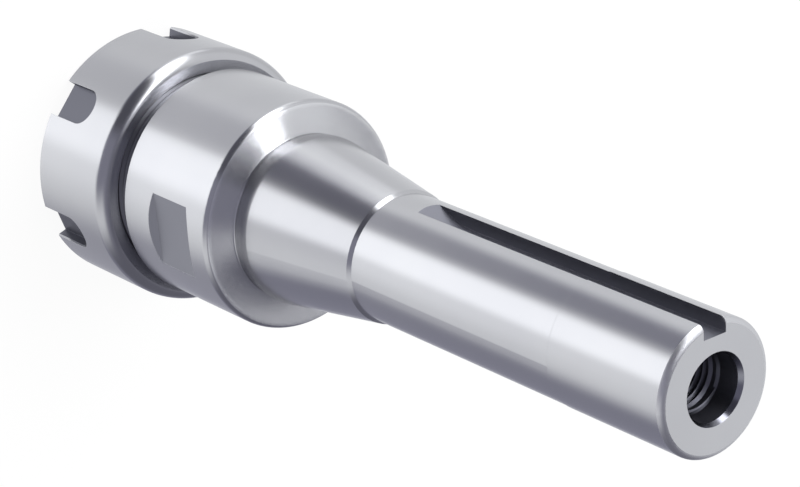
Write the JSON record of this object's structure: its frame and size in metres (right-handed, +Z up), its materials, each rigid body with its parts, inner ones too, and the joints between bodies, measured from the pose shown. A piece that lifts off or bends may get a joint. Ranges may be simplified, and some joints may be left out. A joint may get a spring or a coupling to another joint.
{
  "type": "collet chuck",
  "caption": "Spring-collet chuck on a milling shank: keyed ground shank and taper, flange with wrench flats, threaded nose and slotted clamping nut closing a split collet.",
  "frame": {"origin": "centre of the clamping nut's front face, which is also the bottom centre of the bounding box", "axes": "+Z up the spindle axis from the nut's face to the drawbar end; +X square out of one wrench flat; the keyway faces near -Y"},
  "size_m": [0.05, 0.05, 0.1582],
  "materials": {
    "ground_body": "ground and polished hardened steel",
    "nut_steel": "fine-turned and polished hardened steel",
    "ring_steel": "turned hardened steel",
    "wire_steel": "drawn spring wire",
    "collet_steel": "ground spring steel"
  },
  "bodies": {
    "chuck": {"chuck_body": "ground_body"},
    "collet_set": {"spring_collet": "collet_steel", "extractor_ring": "ring_steel"},
    "nut": {"clamping_nut": "nut_steel", "retaining_wire": "wire_steel"}
  },
  "joints": [
    {"name": "collet_slide", "type": "slide", "parent": "chuck", "child": "collet_set", "axis": [0, 0, -1], "range_m": [0, 0.0045]},
    {"name": "nut_turn", "type": "hinge", "parent": "collet_set", "child": "nut", "pos_m": [0, 0, 0.01], "axis": [0, 0, -1], "range_deg": [0, 1080]}
  ],
  "couplings": [
    {"joint": "collet_slide", "follows": "nut_turn", "m_per_rad": 0.00023873}
  ]
}
